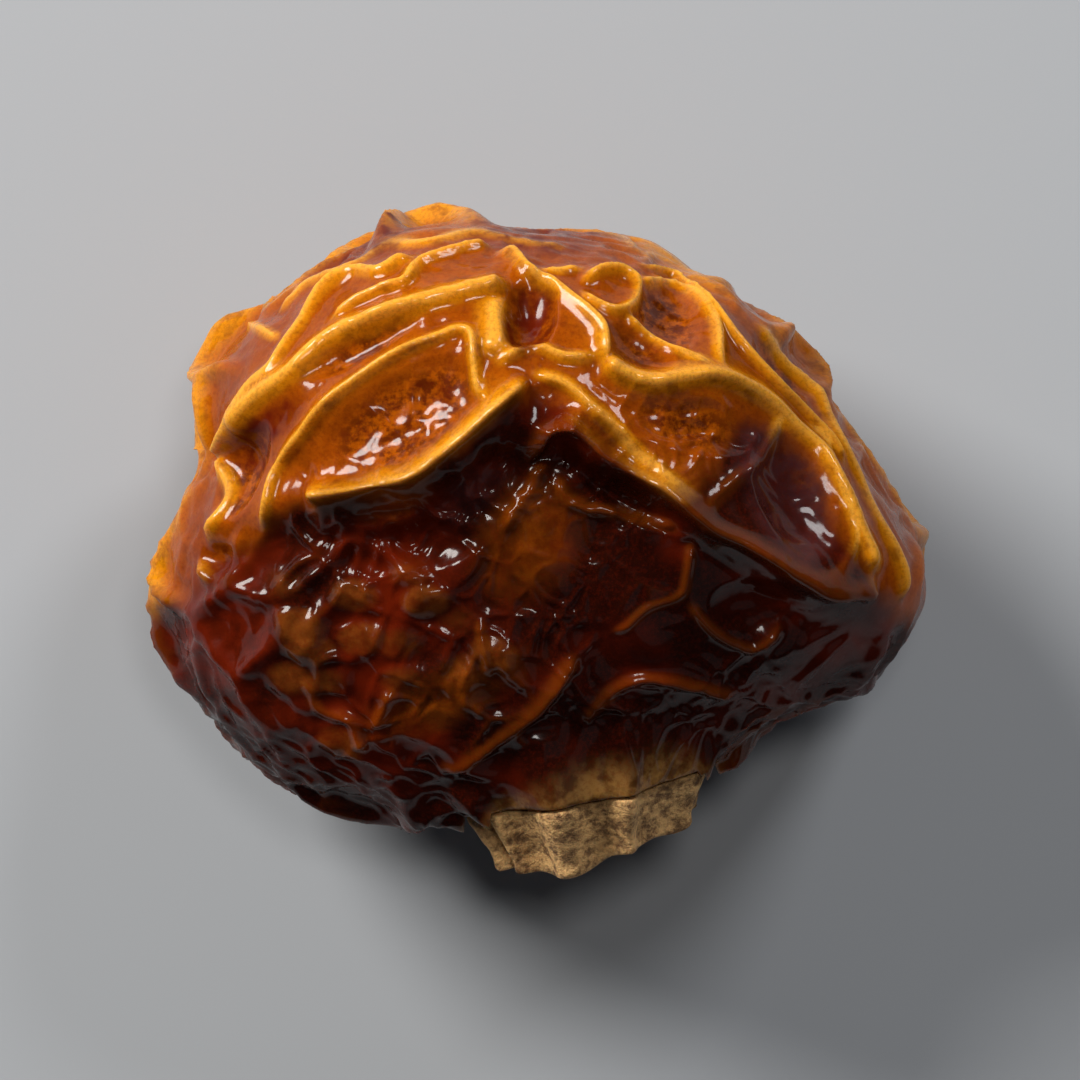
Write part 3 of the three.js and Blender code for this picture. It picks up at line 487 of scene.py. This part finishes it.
SEED_RANDOM = seeded_numbers(5)
SEED_SHOWS = [SEED_LEAST_SHOW + (1 - SEED_LEAST_SHOW) * next(SEED_RANDOM) for _ in range(SEED_COUNT)]
SEED_STRAYS = [
    ((next(SEED_RANDOM) - 0.5) * SEED_STRAY, (next(SEED_RANDOM) - 0.5) * SEED_STRAY)
    for _ in range(SEED_COUNT)
]


def seed_lumps(x, y):
    """The lumps over the hidden seeds, at places seen from above. Some show more than others."""
    lumps = np.zeros(len(x))
    for k in range(SEED_COUNT):
        turn = k * GOLDEN_ANGLE
        reach = math.sqrt((k + 0.5) / SEED_COUNT)
        seed_x = SEED_MIDDLE[0] + SEED_REACH[0] * reach * math.cos(turn) + SEED_STRAYS[k][0]
        seed_y = SEED_MIDDLE[1] + SEED_REACH[1] * reach * math.sin(turn) + SEED_STRAYS[k][1]
        lump = SEED_SHOWS[k] * in_ellipse(x - seed_x, y - seed_y, SEED_HALF, turn * SEED_TURN)
        lumps = np.maximum(lumps, lump)
    return lumps


def drawn_folds(base, normal):
    """The drawn folds at places of the smooth body: their heights raised to SHARPNESS and summed, how near
    a crest each place is, and the lean."""
    middle, change_range, wavelength, seed = FOLD_CHANGE
    change = middle + change_range * waves(base, wavelength, seed)
    powers = np.zeros(len(base))
    crest = np.zeros(len(base))
    lean = np.zeros((len(base), 3))
    for height, width, tip, line in FOLDS.values():
        path = under_crest(smooth_line(line, len(line) * FOLD_STEPS), height, tip)
        low = path.min(axis=0) - FOLD_REACH
        high = path.max(axis=0) + FOLD_REACH
        near = np.flatnonzero(np.all((base > low) & (base < high), axis=1))
        distance, along, run, length = nearest_on_line(path, base[near])
        end = smoothstep(-0.01, FOLD_END, np.minimum(along, length - along))
        share = end * fold_shape(distance, width) * (distance <= FOLD_REACH) * change[near]
        power = (height * share) ** SHARPNESS
        powers[near] += power
        crest[near] = np.maximum(crest[near], end * np.exp(-((distance / (CREST_WIDTH * width)) ** 2)))
        lean[near] += np.cross(run, normal[near]) * (tip * share * power)[:, None]
    return powers, crest, lean / np.maximum(powers, 1e-12)[:, None]


def skin_points(directions):
    """The wrinkled skin's places for directions from the berry's middle, and masks for its material."""
    base = body_points(directions)
    normal = body_normals(base)
    facing_up = normal[:, 2]
    on_top = smoothstep(*TOP_SIDE, facing_up)
    at_foot = smoothstep(*FOOT_SIDE, facing_up)
    upper = facing_up > 0
    seen_x, seen_y = (base + SKIN_LIFT * normal)[:, :2].T
    below_brow = 1 - smoothstep(*BROW_RISE, seen_y - line_level(BROW, seen_x))
    pull, pleat, neck = stem_pull(base)

    hollow = np.zeros(len(base))
    for middle, half, turn, depth in HOLLOWS.values():
        hollow += depth * in_patch(seen_x, seen_y, middle, half, turn) * smoothstep(*HOLLOW_SIDE, facing_up)
    seeds = seed_lumps(seen_x, seen_y) * upper

    powers, crest, lean = drawn_folds(base, normal)
    for net in NETS:
        height, left_on_top = net[1], net[-1]
        kept_on_top = 1 - on_top * (1 - left_on_top - NET_BELOW_BROW * below_brow)
        wrinkle = kept_on_top * (1 - at_foot * (1 - NET_AT_FOOT)) * net_height(net, base)
        powers += wrinkle**SHARPNESS
        # the net's crests join the crest mask, which turns them pale, partly as a painted highlight
        crest = np.maximum(crest, smoothstep(*NET_CREST, wrinkle / height) * NET_CREST_PALE_AND_HIGHLIGHT)
    folds = powers ** (1 / SHARPNESS) * (1 - neck)

    crumple = net_height(CRUMPLE, base) * (CRUMPLE_ABOVE_BROW + (1 - CRUMPLE_ABOVE_BROW) * below_brow)
    middle, half, turn, _ = HOLLOWS["amber_lobe"]
    crumple *= 1 - (1 - CRUMPLE_ON_LOBE) * in_patch(seen_x, seen_y, middle, half, turn) * upper

    height = SEED_HEIGHT * seeds - hollow + folds + pleat + crumple
    places = base + normal * height[:, None] + lean
    slope = BODY_TILT * base[:, 1] / TILT_REACH - BROW_DROP * below_brow
    places[:, 2] += np.maximum(0, base[:, 2]) * slope * (1 - neck)
    places += STEM_AXIS * pull[:, None]

    masks = {"fold": folds, "crest": crest, "hollow": hollow, "seeds": seeds, "neck": neck}
    masks["past_gold"] = seen_y - line_level(GOLD_EDGE, seen_x)
    for name, patches in TINTS.items():
        masks[name] = np.zeros(len(base))
        for middle, half, turn, strength in patches:
            within = in_patch(seen_x, seen_y, middle, half, turn) * upper
            masks[name] = np.maximum(masks[name], within * strength)
    return places, masks


def flatten_cuts(places):
    """The foot and the seat: what stands past either plane is brought back onto it."""
    places[:, 2] = np.maximum(places[:, 2], FOOT_LEVEL)
    out = (places - SEAT) @ STEM_AXIS
    away = np.linalg.norm(places - SEAT - out[:, None] * STEM_AXIS, axis=1)
    past = np.where(away < SEAT_RADIUS, np.maximum(0, out), 0)
    return places - past[:, None] * STEM_AXIS


def to_row_frame(places):
    return (places - np.array([PLAN_MIDDLE[0], PLAN_MIDDLE[1], FOOT_LEVEL])) * MM


def cube_sphere(cuts):
    """Directions and quads of a cube's surface lattice, spaced evenly in angle."""
    corners = []
    quads = []
    steps = np.arange(cuts + 1)
    for axis in range(3):
        for side in (0, cuts):
            u, v = np.meshgrid(steps, steps, indexing="ij")
            lattice = np.empty((cuts + 1, cuts + 1, 3), dtype=int)
            lattice[..., axis] = side
            lattice[..., (axis + 1) % 3] = u
            lattice[..., (axis + 2) % 3] = v
            first = sum(len(c) for c in corners)
            index = first + np.arange((cuts + 1) ** 2).reshape(cuts + 1, cuts + 1)
            ring = [index[:-1, :-1], index[1:, :-1], index[1:, 1:], index[:-1, 1:]]
            if side == 0:
                ring.reverse()
            corners.append(lattice.reshape(-1, 3))
            quads.append(np.stack(ring, axis=-1).reshape(-1, 4))
    lattice, merged = np.unique(np.concatenate(corners), axis=0, return_inverse=True)
    directions = np.tan((lattice / cuts * 2 - 1) * math.pi / 4)
    return unit(directions), merged.reshape(-1)[np.concatenate(quads)]


def mesh_object(name, places, faces, masks=None):
    mesh = bpy.data.meshes.new(name)
    mesh.from_pydata(places.tolist(), [], faces)
    mesh.shade_smooth()
    for key, values in (masks or {}).items():
        attribute = mesh.attributes.new(key, "FLOAT", "POINT")
        attribute.data.foreach_set("value", np.asarray(values, dtype=np.float32))
    mesh.update()
    piece = bpy.data.objects.new(name, mesh)
    bpy.context.collection.objects.link(piece)
    return piece


SKIN_CUTS = 128
MESH_LIFT = 0.35  # crowds the mesh towards the folded upper side


def make_skin():
    directions, quads = cube_sphere(SKIN_CUTS)
    directions[:, 2] += MESH_LIFT
    places, masks = skin_points(unit(directions))
    skin = mesh_object("berry_skin", to_row_frame(flatten_cuts(places)), quads.tolist(), masks)
    skin.data.materials.append(skin_material())
    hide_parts("berry")
    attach(skin, "root")


# The scar as rings about the stem's axis: shares of the radius and of the thickness, from the middle of its
# back to that of its face
SCAR_RINGS = [
    (0, 0), (0.5, 0), (0.93, 0), (0.99, 0.1), (0.95, 0.32), (0.89, 0.58), (0.84, 0.82), (0.83, 0.97),
    (0.79, 1.03), (0.74, 0.95), (0.68, 0.78), (0.58, 0.62), (0.45, 0.55), (0.3, 0.6), (0.15, 0.68),
    (0, 0.66),
]
SCAR_SECTORS = 216
SCAR_RING_STEPS = 5


def scar_mesh():
    """The scar's places and faces, with a fan of triangles in the middle of its back and of its face."""
    rings = smooth_line(SCAR_RINGS, (len(SCAR_RINGS) - 1) * SCAR_RING_STEPS)[1:-1]
    turn = np.arange(SCAR_SECTORS) / SCAR_SECTORS * 2 * math.pi
    radius_share, t = np.meshgrid(rings[:, 0], turn, indexing="ij")
    height_share = np.meshgrid(rings[:, 1], turn, indexing="ij")[0]
    flat = np.stack([radius_share * np.cos(t), radius_share * np.sin(t), height_share], axis=-1)
    rim = np.stack([np.cos(t), np.sin(t), 0 * t], axis=-1)
    on_rim = smoothstep(*SCAR_RIM, radius_share)
    ruffle = 1 + SCAR_RUFFLE * (2 * pleat_wave(t) - 1) * on_rim
    torn = 1 + SCAR_RAGGED * waves(rim, SCAR_TEAR_LENGTH, 5) * on_rim * smoothstep(*SCAR_TORN, height_share)
    rough = np.where(height_share > SCAR_BACK, SCAR_ROUGH * waves(flat, SCAR_ROUGH_LENGTH, 8), 0)
    radius = SCAR_RADIUS * radius_share * ruffle
    height = SCAR_THICKNESS * height_share * torn + rough
    places = (
        SEAT
        + (radius * np.cos(t))[..., None] * STEM_SIDE
        + (radius * np.sin(t))[..., None] * STEM_UP
        + (SCAR_GAP + height)[..., None] * STEM_AXIS
    ).reshape(-1, 3)
    ends = [SEAT + STEM_AXIS * SCAR_GAP, SEAT + STEM_AXIS * (SCAR_GAP + SCAR_THICKNESS * SCAR_RINGS[-1][1])]
    places = np.concatenate([places, ends])
    first, last = len(places) - 2, len(places) - 1
    count = len(rings)
    index = np.arange(count * SCAR_SECTORS).reshape(count, SCAR_SECTORS)
    after = np.roll(index, -1, axis=1)
    faces = np.stack([index[:-1], after[:-1], after[1:], index[1:]], axis=-1).reshape(-1, 4).tolist()
    faces += [[first, b, a] for a, b in zip(index[0].tolist(), after[0].tolist())]
    faces += [[last, a, b] for a, b in zip(index[-1].tolist(), after[-1].tolist())]
    return places, faces


def make_scar():
    places, faces = scar_mesh()
    scar = mesh_object("corky_scar", to_row_frame(places), faces)
    scar.data.materials.append(cork_material())
    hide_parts("stem_scar")
    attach(scar, "root")


class Nodes:
    """A material's node tree, with short ways to add and join its nodes."""

    def __init__(self, name):
        self.material = bpy.data.materials.new(name)
        self.material.use_nodes = True
        self.tree = self.material.node_tree
        self.shader = self.tree.nodes["Principled BSDF"]

    def add(self, kind, **settings):
        node = self.tree.nodes.new(kind)
        for key, value in settings.items():
            setattr(node, key, value)
        return node

    def join(self, source, target):
        self.tree.links.new(source, target)

    def attribute(self, name):
        return self.add("ShaderNodeAttribute", attribute_name=name).outputs["Fac"]

    def noise(self, size_mm, detail=3, roughness=0.55):
        where = self.add("ShaderNodeTexCoord").outputs["Object"]
        noise = self.add("ShaderNodeTexNoise")
        noise.inputs["Scale"].default_value = 1 / (size_mm * MM)
        noise.inputs["Detail"].default_value = detail
        noise.inputs["Roughness"].default_value = roughness
        self.join(where, noise.inputs["Vector"])
        return noise.outputs["Fac"]

    def ramp(self, value, start, end, low=0.0, high=1.0):
        node = self.add("ShaderNodeMapRange", interpolation_type="SMOOTHSTEP")
        for key, number in (("From Min", start), ("From Max", end), ("To Min", low), ("To Max", high)):
            node.inputs[key].default_value = number
        self.join(value, node.inputs["Value"])
        return node.outputs["Result"]

    def math(self, operation, a, b):
        node = self.add("ShaderNodeMath", operation=operation)
        for socket, value in zip(node.inputs, (a, b)):
            if isinstance(value, (int, float)):
                socket.default_value = value
            else:
                self.join(value, socket)
        return node.outputs[0]

    def mix(self, share, a, b):
        node = self.add("ShaderNodeMix", data_type="RGBA")
        for key, value in ((0, share), (6, a), (7, b)):
            if isinstance(value, tuple):
                node.inputs[key].default_value = (*value, 1)
            elif isinstance(value, (int, float)):
                node.inputs[key].default_value = value
            else:
                self.join(value, node.inputs[key])
        return node.outputs[2]

    def bump(self, height, depth_mm, strength=1.0, below=None):
        node = self.add("ShaderNodeBump")
        node.inputs["Strength"].default_value = strength
        node.inputs["Distance"].default_value = depth_mm * MM
        self.join(height, node.inputs["Height"])
        if below is not None:
            self.join(below, node.inputs["Normal"])
        return node.outputs["Normal"]

    def set(self, **values):
        for key, value in values.items():
            self.shader.inputs[key.replace("_", " ")].default_value = value


# Colours of the skin, from its palest crests to its darkest valleys, and of the fibres on the neck
# partly painted highlight: the palest crest tops are partly the thin skin's own paler tone and partly a
# painted highlight
PALE_CREST_AND_HIGHLIGHT = (0.9, 0.42, 0.05)
GOLD = (0.66, 0.24, 0.004)
AMBER = (0.36, 0.075, 0.001)
# partly painted shade: this valley colour and the dark hollow colour on the next line are partly the skin's
# own darker tone and partly painted shade
RUSSET_AND_SHADE = (0.22, 0.035, 0.001)
HOLLOW_DARK_AND_SHADE = (0.1, 0.015, 0.001)
RED = (0.11, 0.008, 0.001)
# partly painted shade: the sunken lower side's darkest colour, partly the flesh's own dark red and partly
# painted shade
DARK_AND_SHADE = (0.022, 0.003, 0.001)
# painted reflection: a bluish sheen on the facets, painted as a purplish colour
VIOLET_REFLECTION = (0.06, 0.015, 0.015)
SEED_BROWN = (0.2, 0.05, 0.006)
# partly painted light: the neck's olive is made paler than its own tone, to stand in for light that the
# stem end, turned away from the lamps, doesn't get
OLIVE_AND_PAINTED_LIGHT = (0.38, 0.19, 0.05)
BARK = (0.12, 0.05, 0.012)

# Noise of the skin's markings and relief, and the relief's depths in millimetres
PATCHES = {"size_mm": 2.6, "detail": 2}
MOTTLE = {"size_mm": 0.5, "detail": 4}
PANEL = {"size_mm": 0.3, "detail": 5, "roughness": 0.65}
SPECKLE = {"size_mm": 0.1, "detail": 4, "roughness": 0.7}
DIMPLES = {"size_mm": 0.5}
DIMPLE_DEPTH = 0.04
GRAIN = {"size_mm": 0.12}
GRAIN_DEPTH = 0.01


def bright_colour(nodes, mottle, patches):
    """The golden side: russet valleys, amber, gold and pale crests, and speckled panels in the hollows. The
    gold and pale crests are partly a painted highlight, and the russet valleys and dark panels are partly
    painted shade.
    """
    fold = nodes.math("ADD", nodes.attribute("fold"), nodes.math("MULTIPLY", mottle, 0.35))
    # partly painted shade: the lower a place lies between the folds, the darker it is coloured
    colour = nodes.mix(nodes.ramp(fold, 0.15, 0.45), RUSSET_AND_SHADE, AMBER)
    golden = nodes.math("MULTIPLY", nodes.ramp(fold, 0.35, 0.85), nodes.ramp(patches, 0.36, 0.6, 0.35, 1.0))
    colour = nodes.mix(golden, colour, GOLD)
    # partly painted shade: the hollows take speckled panels that are darker than the skin around them
    panel_and_shade = nodes.mix(nodes.ramp(nodes.noise(**PANEL), 0.4, 0.6), HOLLOW_DARK_AND_SHADE, AMBER)
    colour = nodes.mix(nodes.ramp(nodes.attribute("hollow"), 0.04, 0.22, 0, 0.9), colour, panel_and_shade)
    # partly painted highlight: the crests are lifted to gold
    colour = nodes.mix(nodes.math("MULTIPLY", mottled_crest_and_highlight(nodes, mottle), 0.8), colour, GOLD)
    colour = nodes.mix(nodes.ramp(mottle, 0.48, 0.72, 0, 0.55), colour, RED)
    # partly painted highlight: the crest tops turn pale, partly by the skin's own tone and partly as a
    # painted highlight
    return nodes.mix(nodes.ramp(nodes.attribute("crest"), 0.7, 1.0, 0, 0.6), colour, PALE_CREST_AND_HIGHLIGHT)


def dull_and_shaded_colour(nodes, mottle, patches):
    """The sunken side: dark to red, with amber crests and brownish seeds; the dark is partly painted shade,
    and the amber crests are a painted highlight.
    """
    colour = nodes.mix(nodes.ramp(patches, 0.42, 0.7), DARK_AND_SHADE, RED)
    # painted highlight: amber along the sunken side's crests
    colour = nodes.mix(nodes.math("MULTIPLY", mottled_crest_and_highlight(nodes, mottle), 0.2), colour, AMBER)
    seeds = nodes.ramp(nodes.attribute("seeds"), 0.05, 0.6)
    seeds = nodes.math("MULTIPLY", seeds, nodes.ramp(mottle, 0.3, 0.7, 0.2, 0.8))
    return nodes.mix(seeds, colour, SEED_BROWN)


# partly painted highlight: this mask lifts the crests' colour, partly the crests' own paler tone and partly
# a painted highlight along them
def mottled_crest_and_highlight(nodes, mottle):
    crest = nodes.math("ADD", nodes.attribute("crest"), nodes.math("MULTIPLY", mottle, 0.3))
    return nodes.ramp(crest, 0.3, 1.0)


def skin_material():
    nodes = Nodes("skin")
    mottle = nodes.noise(**MOTTLE)
    patches = nodes.noise(**PATCHES)

    wander = nodes.math("MULTIPLY", nodes.math("SUBTRACT", patches, 0.5), 2.2)
    # partly painted shade: past the gold edge the skin takes the dark sunken colour
    side = nodes.ramp(nodes.math("ADD", nodes.attribute("past_gold"), wander), -0.5, 0.55)
    colour = nodes.mix(side, dull_and_shaded_colour(nodes, mottle, patches), bright_colour(nodes, mottle, patches))
    patchy = nodes.ramp(mottle, 0.3, 0.7, 0.35, 1.0)
    # the purplish tint among these is a painted reflection
    for name, tint in (("amber", AMBER), ("red", RED), ("violet_reflection", VIOLET_REFLECTION)):
        share = nodes.math("MULTIPLY", nodes.ramp(nodes.attribute(name), 0.0, 0.6), patchy)
        colour = nodes.mix(share, colour, tint)
    # partly painted light: the neck's fibres are coloured paler than their own tone
    fibres = nodes.mix(nodes.ramp(mottle, 0.38, 0.62), BARK, OLIVE_AND_PAINTED_LIGHT)
    colour = nodes.mix(nodes.ramp(nodes.attribute("neck"), 0.3, 0.8), colour, fibres)
    colour = nodes.mix(nodes.ramp(nodes.noise(**SPECKLE), 0.36, 0.56, 0.7, 1.0), RED, colour)
    nodes.join(colour, nodes.shader.inputs["Base Color"])

    nodes.join(nodes.ramp(mottle, 0.3, 0.7, 0.2, 0.35), nodes.shader.inputs["Roughness"])
    grain = nodes.bump(nodes.noise(**GRAIN), GRAIN_DEPTH, 0.3)
    dimples = nodes.bump(nodes.noise(**DIMPLES), DIMPLE_DEPTH, 0.4, grain)
    nodes.join(dimples, nodes.shader.inputs["Normal"])
    nodes.set(Subsurface_Weight=0.2, Subsurface_Scale=0.8 * MM, Subsurface_Radius=(1.0, 0.3, 0.06))
    nodes.set(Specular_IOR_Level=0.03, Coat_Weight=0.36, Coat_Roughness=0.1, Coat_IOR=1.55)
    return nodes.material


# partly painted light: both cork colours are made paler than the cork's own tan, to stand in for light that
# the stem end, turned away from the lamps, doesn't get
CORK_PALE_AND_PAINTED_LIGHT = (0.72, 0.42, 0.16)
CORK_DARK_AND_PAINTED_LIGHT = (0.15, 0.07, 0.022)
PITS = {"size_mm": 0.35, "detail": 5, "roughness": 0.7}
PIT_DEPTH = 0.18


def cork_material():
    nodes = Nodes("cork")
    pits = nodes.noise(**PITS)
    # partly painted light: the paler cork
    colour = nodes.mix(nodes.ramp(pits, 0.35, 0.62), CORK_DARK_AND_PAINTED_LIGHT, CORK_PALE_AND_PAINTED_LIGHT)
    nodes.join(colour, nodes.shader.inputs["Base Color"])
    nodes.join(nodes.bump(pits, PIT_DEPTH, 0.9), nodes.shader.inputs["Normal"])
    nodes.set(Roughness=0.75, Subsurface_Weight=0.1, Subsurface_Scale=0.5 * MM)
    return nodes.material


# The stage, in metres
FLOOR_HALF = 0.6
FLOOR_COLOUR = (0.42, 0.44, 0.47, 1)
FLOOR_ROUGHNESS = 0.85
LIGHTS = [  # name, place, size, power, colour
    ("key", (-0.2, 0.175, 0.16), 0.14, 1.3, (1, 0.97, 0.92)),
    ("second", (0.14, 0.22, 0.2), 0.09, 0.35, (1, 1, 1)),
    ("overhead", (0.03, 0.05, 0.35), 0.06, 0.18, (1, 0.97, 0.93)),
    ("fill", (0.2, -0.2, 0.25), 0.3, 0.03, (0.85, 0.93, 1)),
]
LIGHT_TARGET = (0, 0, 0.005)
WORLD_COLOUR = (0.75, 0.85, 1, 1)
WORLD_STRENGTH = 0.02
FRAME_WIDTH = 0.027
LENS = 300
SENSOR = 36
CLIP_START = 0.01


def make_floor():
    corners = np.array([[-1, -1, 0], [1, -1, 0], [1, 1, 0], [-1, 1, 0]]) * FLOOR_HALF
    floor = mesh_object("floor", corners, [[0, 1, 2, 3]])
    nodes = Nodes("floor")
    nodes.set(Base_Color=FLOOR_COLOUR, Roughness=FLOOR_ROUGHNESS)
    floor.data.materials.append(nodes.material)


def make_lights():
    for name, place, size, power, colour in LIGHTS:
        light = bpy.data.lights.new(name, "AREA")
        light.shape = "DISK"
        light.size = size
        light.energy = power
        light.color = colour
        piece = bpy.data.objects.new(name, light)
        bpy.context.collection.objects.link(piece)
        piece.location = place
        piece.rotation_euler = (Vector(LIGHT_TARGET) - Vector(place)).to_track_quat("-Z", "Y").to_euler()
    world = bpy.data.worlds.new("world")
    world.use_nodes = True
    world.node_tree.nodes["Background"].inputs["Color"].default_value = WORLD_COLOUR
    world.node_tree.nodes["Background"].inputs["Strength"].default_value = WORLD_STRENGTH
    bpy.context.scene.world = world


def make_camera():
    """A camera over the berry that looks straight down, as a camera does that isn't turned."""
    low, high = cad_box
    camera = bpy.data.cameras.new("camera")
    camera.lens = LENS
    camera.sensor_width = SENSOR
    camera.clip_start = CLIP_START
    piece = bpy.data.objects.new("camera", camera)
    bpy.context.collection.objects.link(piece)
    middle = (low[2] + high[2]) / 2
    piece.location = (0, 0, middle + FRAME_WIDTH * LENS / SENSOR)
    bpy.context.scene.camera = piece


make_skin()
make_scar()
make_floor()
make_lights()
make_camera()
bpy.context.scene.view_settings.view_transform = "Standard"
